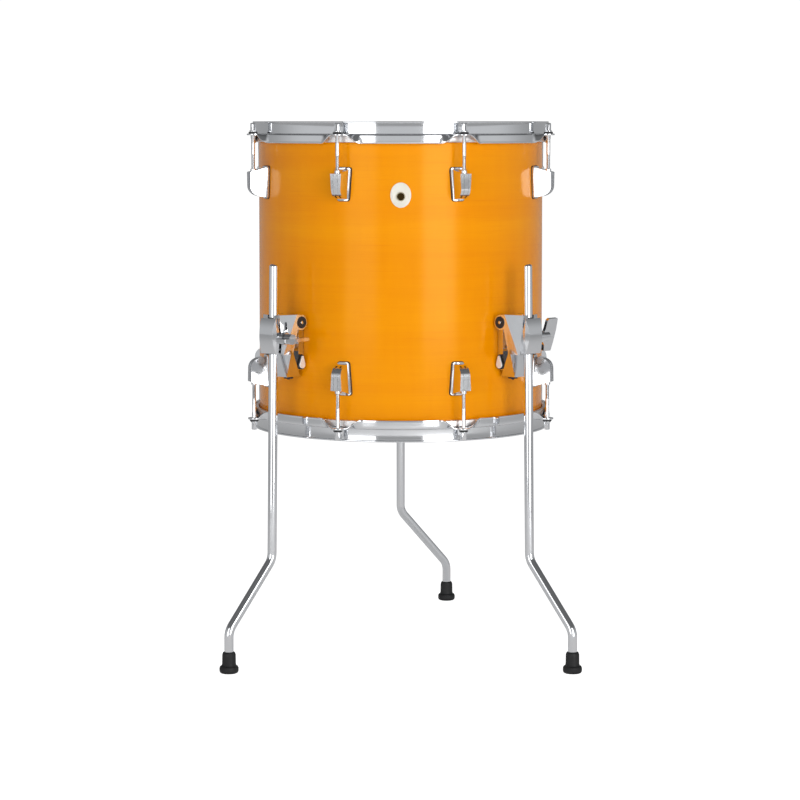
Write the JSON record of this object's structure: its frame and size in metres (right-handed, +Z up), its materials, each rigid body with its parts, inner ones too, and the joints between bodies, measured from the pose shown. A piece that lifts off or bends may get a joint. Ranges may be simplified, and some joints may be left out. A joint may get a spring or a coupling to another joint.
{
  "type": "floor tom drum",
  "caption": "Deep maple floor tom with chromed triple-flanged hoops, ribbed lugs, vented badge and bent legs held in side clamps with wing screws.",
  "frame": {"origin": "on the floor, at the middle of the drum's footprint (bounding box bottom centre)", "axes": "+Z up through the drum, the badge faces -Y, the right-hand front leg stands at +X"},
  "size_m": [0.4898, 0.5404, 0.743],
  "materials": {
    "maple": "satin amber lacquer",
    "coated_film": "frosted coating",
    "clear_film": "clear",
    "flesh_aluminium": "plain",
    "chrome_plate": "polished",
    "zinc_steel": "zinc plated",
    "black_rubber": "matt",
    "foot_rubber": "satin",
    "sleeve_nylon": "satin",
    "badge_metal": "satin, plain face with a raised rim",
    "grommet_brass": "plated"
  },
  "bodies": {
    "drum": {"shell": "maple", "batter_film": "coated_film", "batter_flesh_hoop": "flesh_aluminium", "reso_film": "clear_film", "reso_flesh_hoop": "flesh_aluminium", "upper_lugs": "chrome_plate", "lower_lugs": "chrome_plate", "lug_gaskets": "black_rubber", "lug_inserts": "zinc_steel", "lug_screws": "zinc_steel", "lug_screw_washers": "zinc_steel", "badge": "badge_metal", "vent_grommet": "grommet_brass", "bracket_gaskets": "black_rubber", "bracket_bases": "chrome_plate", "bracket_bodies": "chrome_plate", "bracket_caps": "chrome_plate", "bracket_pins": "zinc_steel", "bracket_bushings": "black_rubber", "side_bumpers": "black_rubber", "bumper_caps": "chrome_plate", "tail_bumpers": "black_rubber", "cap_screws": "zinc_steel", "bracket_screws": "zinc_steel", "bracket_screw_washers": "zinc_steel"},
    "top_hoop": {"top_hoop": "chrome_plate", "top_rod_washers": "chrome_plate"},
    "bottom_hoop": {"bottom_hoop": "chrome_plate", "bottom_rod_washers": "chrome_plate"},
    "top_rod_1": {"top_rod_1": "chrome_plate"},
    "top_rod_2": {"top_rod_2": "chrome_plate"},
    "top_rod_3": {"top_rod_3": "chrome_plate"},
    "top_rod_4": {"top_rod_4": "chrome_plate"},
    "top_rod_5": {"top_rod_5": "chrome_plate"},
    "top_rod_6": {"top_rod_6": "chrome_plate"},
    "top_rod_7": {"top_rod_7": "chrome_plate"},
    "top_rod_8": {"top_rod_8": "chrome_plate"},
    "bottom_rod_1": {"bottom_rod_1": "chrome_plate"},
    "bottom_rod_2": {"bottom_rod_2": "chrome_plate"},
    "bottom_rod_3": {"bottom_rod_3": "chrome_plate"},
    "bottom_rod_4": {"bottom_rod_4": "chrome_plate"},
    "bottom_rod_5": {"bottom_rod_5": "chrome_plate"},
    "bottom_rod_6": {"bottom_rod_6": "chrome_plate"},
    "bottom_rod_7": {"bottom_rod_7": "chrome_plate"},
    "bottom_rod_8": {"bottom_rod_8": "chrome_plate"},
    "right_sleeve": {"right_sleeve": "sleeve_nylon"},
    "right_leg": {"right_leg": "chrome_plate", "right_foot": "foot_rubber"},
    "right_shoe": {"right_shoe": "zinc_steel"},
    "right_wing_screw": {"right_wing_screw": "chrome_plate"},
    "left_sleeve": {"left_sleeve": "sleeve_nylon"},
    "left_leg": {"left_leg": "chrome_plate", "left_foot": "foot_rubber"},
    "left_shoe": {"left_shoe": "zinc_steel"},
    "left_wing_screw": {"left_wing_screw": "chrome_plate"},
    "rear_sleeve": {"rear_sleeve": "sleeve_nylon"},
    "rear_leg": {"rear_leg": "chrome_plate", "rear_foot": "foot_rubber"},
    "rear_shoe": {"rear_shoe": "zinc_steel"},
    "rear_wing_screw": {"rear_wing_screw": "chrome_plate"}
  },
  "joints": [
    {"name": "top_hoop_lift", "type": "slide", "parent": "drum", "child": "top_hoop", "axis": [0, 0, 1], "range_m": [0, 0.006]},
    {"name": "bottom_hoop_drop", "type": "slide", "parent": "drum", "child": "bottom_hoop", "axis": [0, 0, -1], "range_m": [0, 0.006]},
    {"name": "top_rod_1_turn", "type": "hinge", "parent": "top_hoop", "child": "top_rod_1", "pos_m": [0.08496, -0.2304, 0.7287], "axis": [0, 0, 1], "range_deg": [0, 2050]},
    {"name": "top_rod_2_turn", "type": "hinge", "parent": "top_hoop", "child": "top_rod_2", "pos_m": [0.2051, -0.11025, 0.7287], "axis": [0, 0, 1], "range_deg": [0, 2050]},
    {"name": "top_rod_3_turn", "type": "hinge", "parent": "top_hoop", "child": "top_rod_3", "pos_m": [0.2051, 0.05966, 0.7287], "axis": [0, 0, 1], "range_deg": [0, 2050]},
    {"name": "top_rod_4_turn", "type": "hinge", "parent": "top_hoop", "child": "top_rod_4", "pos_m": [0.08496, 0.1798, 0.7287], "axis": [0, 0, 1], "range_deg": [0, 2050]},
    {"name": "top_rod_5_turn", "type": "hinge", "parent": "top_hoop", "child": "top_rod_5", "pos_m": [-0.08496, 0.1798, 0.7287], "axis": [0, 0, 1], "range_deg": [0, 2050]},
    {"name": "top_rod_6_turn", "type": "hinge", "parent": "top_hoop", "child": "top_rod_6", "pos_m": [-0.2051, 0.05966, 0.7287], "axis": [0, 0, 1], "range_deg": [0, 2050]},
    {"name": "top_rod_7_turn", "type": "hinge", "parent": "top_hoop", "child": "top_rod_7", "pos_m": [-0.2051, -0.11025, 0.7287], "axis": [0, 0, 1], "range_deg": [0, 2050]},
    {"name": "top_rod_8_turn", "type": "hinge", "parent": "top_hoop", "child": "top_rod_8", "pos_m": [-0.08496, -0.2304, 0.7287], "axis": [0, 0, 1], "range_deg": [0, 2050]},
    {"name": "bottom_rod_1_turn", "type": "hinge", "parent": "bottom_hoop", "child": "bottom_rod_1", "pos_m": [0.08496, -0.2304, 0.3243], "axis": [0, 0, -1], "range_deg": [0, 2050]},
    {"name": "bottom_rod_2_turn", "type": "hinge", "parent": "bottom_hoop", "child": "bottom_rod_2", "pos_m": [0.2051, -0.11025, 0.3243], "axis": [0, 0, -1], "range_deg": [0, 2050]},
    {"name": "bottom_rod_3_turn", "type": "hinge", "parent": "bottom_hoop", "child": "bottom_rod_3", "pos_m": [0.2051, 0.05966, 0.3243], "axis": [0, 0, -1], "range_deg": [0, 2050]},
    {"name": "bottom_rod_4_turn", "type": "hinge", "parent": "bottom_hoop", "child": "bottom_rod_4", "pos_m": [0.08496, 0.1798, 0.3243], "axis": [0, 0, -1], "range_deg": [0, 2050]},
    {"name": "bottom_rod_5_turn", "type": "hinge", "parent": "bottom_hoop", "child": "bottom_rod_5", "pos_m": [-0.08496, 0.1798, 0.3243], "axis": [0, 0, -1], "range_deg": [0, 2050]},
    {"name": "bottom_rod_6_turn", "type": "hinge", "parent": "bottom_hoop", "child": "bottom_rod_6", "pos_m": [-0.2051, 0.05966, 0.3243], "axis": [0, 0, -1], "range_deg": [0, 2050]},
    {"name": "bottom_rod_7_turn", "type": "hinge", "parent": "bottom_hoop", "child": "bottom_rod_7", "pos_m": [-0.2051, -0.11025, 0.3243], "axis": [0, 0, -1], "range_deg": [0, 2050]},
    {"name": "bottom_rod_8_turn", "type": "hinge", "parent": "bottom_hoop", "child": "bottom_rod_8", "pos_m": [-0.08496, -0.2304, 0.3243], "axis": [0, 0, -1], "range_deg": [0, 2050]},
    {"name": "right_leg_swivel", "type": "hinge", "parent": "drum", "child": "right_sleeve", "pos_m": [0.17324, -0.19854, 0.449], "axis": [-0.0099, 0.0099, 0.9999], "range_deg": [-180, 180]},
    {"name": "right_leg_height", "type": "slide", "parent": "right_sleeve", "child": "right_leg", "axis": [-0.0099, 0.0099, 0.9999], "range_m": [-0.06, 0.15]},
    {"name": "right_shoe_release", "type": "slide", "parent": "drum", "child": "right_shoe", "axis": [0.7071, 0.7071, 0], "range_m": [0, 0.004]},
    {"name": "right_wing_turn", "type": "hinge", "parent": "right_shoe", "child": "right_wing_screw", "pos_m": [0.19233, -0.17945, 0.449], "axis": [0.7071, 0.7071, 0], "range_deg": [0, 1160]},
    {"name": "left_leg_swivel", "type": "hinge", "parent": "drum", "child": "left_sleeve", "pos_m": [-0.17324, -0.19854, 0.449], "axis": [0.0099, 0.0099, 0.9999], "range_deg": [-180, 180]},
    {"name": "left_leg_height", "type": "slide", "parent": "left_sleeve", "child": "left_leg", "axis": [0.0099, 0.0099, 0.9999], "range_m": [-0.06, 0.15]},
    {"name": "left_shoe_release", "type": "slide", "parent": "drum", "child": "left_shoe", "axis": [0.7071, -0.7071, 0], "range_m": [0, 0.004]},
    {"name": "left_wing_turn", "type": "hinge", "parent": "left_shoe", "child": "left_wing_screw", "pos_m": [-0.15415, -0.21763, 0.449], "axis": [0.7071, -0.7071, 0], "range_deg": [0, 1160]},
    {"name": "rear_leg_swivel", "type": "hinge", "parent": "drum", "child": "rear_sleeve", "pos_m": [0, 0.2197, 0.449], "axis": [0, -0.014, 0.9999], "range_deg": [-180, 180]},
    {"name": "rear_leg_height", "type": "slide", "parent": "rear_sleeve", "child": "rear_leg", "axis": [0, -0.014, 0.9999], "range_m": [-0.06, 0.15]},
    {"name": "rear_shoe_release", "type": "slide", "parent": "drum", "child": "rear_shoe", "axis": [-1, 0, 0], "range_m": [0, 0.004]},
    {"name": "rear_wing_turn", "type": "hinge", "parent": "rear_shoe", "child": "rear_wing_screw", "pos_m": [-0.027, 0.2197, 0.449], "axis": [-1, 0, 0], "range_deg": [0, 1160]}
  ],
  "couplings": [
    {"joint": "top_rod_1_turn", "follows": "top_hoop_lift", "rad_per_m": 5936.9},
    {"joint": "top_rod_2_turn", "follows": "top_hoop_lift", "rad_per_m": 5936.9},
    {"joint": "top_rod_3_turn", "follows": "top_hoop_lift", "rad_per_m": 5936.9},
    {"joint": "top_rod_4_turn", "follows": "top_hoop_lift", "rad_per_m": 5936.9},
    {"joint": "top_rod_5_turn", "follows": "top_hoop_lift", "rad_per_m": 5936.9},
    {"joint": "top_rod_6_turn", "follows": "top_hoop_lift", "rad_per_m": 5936.9},
    {"joint": "top_rod_7_turn", "follows": "top_hoop_lift", "rad_per_m": 5936.9},
    {"joint": "top_rod_8_turn", "follows": "top_hoop_lift", "rad_per_m": 5936.9},
    {"joint": "bottom_rod_1_turn", "follows": "bottom_hoop_drop", "rad_per_m": 5936.9},
    {"joint": "bottom_rod_2_turn", "follows": "bottom_hoop_drop", "rad_per_m": 5936.9},
    {"joint": "bottom_rod_3_turn", "follows": "bottom_hoop_drop", "rad_per_m": 5936.9},
    {"joint": "bottom_rod_4_turn", "follows": "bottom_hoop_drop", "rad_per_m": 5936.9},
    {"joint": "bottom_rod_5_turn", "follows": "bottom_hoop_drop", "rad_per_m": 5936.9},
    {"joint": "bottom_rod_6_turn", "follows": "bottom_hoop_drop", "rad_per_m": 5936.9},
    {"joint": "bottom_rod_7_turn", "follows": "bottom_hoop_drop", "rad_per_m": 5936.9},
    {"joint": "bottom_rod_8_turn", "follows": "bottom_hoop_drop", "rad_per_m": 5936.9},
    {"joint": "right_wing_turn", "follows": "right_shoe_release", "rad_per_m": 5026.6},
    {"joint": "left_wing_turn", "follows": "left_shoe_release", "rad_per_m": 5026.6},
    {"joint": "rear_wing_turn", "follows": "rear_shoe_release", "rad_per_m": 5026.6}
  ]
}
